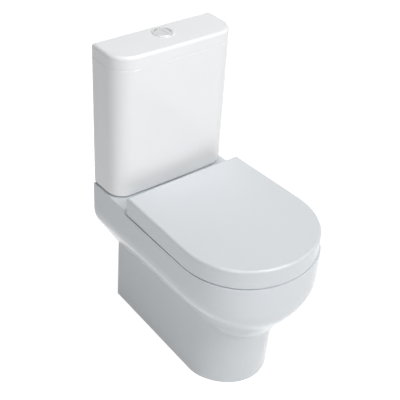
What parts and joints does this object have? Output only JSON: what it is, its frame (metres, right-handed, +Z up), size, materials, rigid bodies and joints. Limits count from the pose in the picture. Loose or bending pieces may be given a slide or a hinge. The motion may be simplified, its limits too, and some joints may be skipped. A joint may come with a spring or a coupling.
{
  "type": "close-coupled toilet",
  "caption": "Floor-standing toilet with a D-shaped bowl on a narrower pedestal, a soft-close seat and lid on post hinges, and a cistern with a divided flush button.",
  "frame": {"origin": "on the floor, at the centre of the bounding box's base", "axes": "+X to the right of a person who faces the toilet from the front, +Y to the wall, +Z up"},
  "size_m": [0.3646, 0.569, 0.809],
  "materials": {
    "glazed_china": "white vitreous china, glossy glaze",
    "seat_plastic": "white moulded thermoset, glossy",
    "chrome_plate": "bright chrome plate",
    "hinge_steel": "satin stainless steel",
    "steel_fixing": "plain stainless steel",
    "brass_fixing": "dull brass",
    "black_rubber": "black rubber",
    "clear_rubber": "pale soft rubber",
    "red_seal": "red silicone seal",
    "white_plastic": "white moulded plastic",
    "blue_plastic": "blue moulded plastic",
    "grey_plastic": "grey moulded plastic"
  },
  "bodies": {
    "toilet": {"pan": "glazed_china", "cistern": "glazed_china", "cistern_lid": "glazed_china", "close_coupling_gasket": "black_rubber", "coupling_bolts": "brass_fixing", "coupling_seal_washers": "black_rubber", "coupling_washers": "steel_fixing", "coupling_wing_nuts": "brass_fixing", "flush_valve_washer": "black_rubber", "flush_valve_back_nut": "white_plastic", "flush_valve_base": "white_plastic", "flush_valve_tower": "blue_plastic", "rocker_pins": "steel_fixing", "button_bezel": "chrome_plate", "button_nut": "white_plastic", "full_button_spring": "steel_fixing", "half_button_spring": "steel_fixing", "fill_valve_body": "white_plastic", "fill_valve_washer": "black_rubber", "fill_valve_lock_nut": "white_plastic", "fill_valve_cap": "grey_plastic", "lever_pin": "steel_fixing", "hinge_posts": "hinge_steel", "hinge_pins": "hinge_steel", "hinge_studs": "steel_fixing", "hinge_cone_washers": "black_rubber", "hinge_nuts": "steel_fixing", "floor_fixing_sleeves": "white_plastic"},
    "seat": {"seat": "seat_plastic", "seat_buffers": "clear_rubber", "seat_dampers": "grey_plastic"},
    "lid": {"lid": "seat_plastic", "lid_buffers": "clear_rubber", "lid_dampers": "grey_plastic"},
    "full_button": {"full_flush_button": "chrome_plate", "full_push_rod": "white_plastic"},
    "half_button": {"half_flush_button": "chrome_plate", "half_push_rod": "white_plastic"},
    "full_rocker": {"full_rocker": "grey_plastic"},
    "half_rocker": {"half_rocker": "grey_plastic"},
    "flush_valve": {"overflow_tube": "white_plastic", "flush_valve_seal": "red_seal"},
    "half_flush": {"half_flush_float": "blue_plastic"},
    "float": {"fill_valve_float": "white_plastic"},
    "lever": {"fill_valve_lever": "grey_plastic"}
  },
  "joints": [
    {"name": "seat_hinge", "type": "hinge", "parent": "toilet", "child": "seat", "pos_m": [0, 0.1265, 0.434], "axis": [1, 0, 0], "range_deg": [-93, 0]},
    {"name": "lid_hinge", "type": "hinge", "parent": "seat", "child": "lid", "pos_m": [0, 0.1265, 0.434], "axis": [-1, 0, 0], "range_deg": [0, 93]},
    {"name": "full_button_press", "type": "slide", "parent": "toilet", "child": "full_button", "axis": [0, 0, -1], "range_m": [0, 0.008], "stiffness_N_per_m": 250, "springref_m": -0.002, "deforming": ["full_button_spring"]},
    {"name": "half_button_press", "type": "slide", "parent": "toilet", "child": "half_button", "axis": [0, 0, -1], "range_m": [0, 0.008], "stiffness_N_per_m": 250, "springref_m": -0.002, "deforming": ["half_button_spring"]},
    {"name": "full_rocker_tilt", "type": "hinge", "parent": "toilet", "child": "full_rocker", "pos_m": [-0.029, 0.2355, 0.65], "axis": [0, 1, 0], "range_deg": [0, 36]},
    {"name": "half_rocker_tilt", "type": "hinge", "parent": "toilet", "child": "half_rocker", "pos_m": [0.029, 0.2355, 0.62], "axis": [0, -1, 0], "range_deg": [0, 36]},
    {"name": "flush_valve_lift", "type": "slide", "parent": "toilet", "child": "flush_valve", "axis": [0, 0, 1], "range_m": [0, 0.0188]},
    {"name": "half_flush_lift", "type": "slide", "parent": "toilet", "child": "half_flush", "axis": [0, 0, 1], "range_m": [0, 0.0188]},
    {"name": "float_rise", "type": "slide", "parent": "toilet", "child": "float", "axis": [0, 0, 1], "range_m": [0, 0.012]},
    {"name": "fill_valve_lever_tilt", "type": "hinge", "parent": "toilet", "child": "lever", "pos_m": [0.117, 0.2285, 0.676], "axis": [0, 1, 0], "range_deg": [0, 25.8]}
  ],
  "couplings": [
    {"joint": "full_rocker_tilt", "follows": "full_button_press", "rad_per_m": 78.461},
    {"joint": "half_rocker_tilt", "follows": "half_button_press", "rad_per_m": 78.461},
    {"joint": "flush_valve_lift", "follows": "full_button_press", "ratio": 2.349},
    {"joint": "half_flush_lift", "follows": "half_button_press", "ratio": 2.349},
    {"joint": "fill_valve_lever_tilt", "follows": "float_rise", "rad_per_m": 37.292}
  ]
}
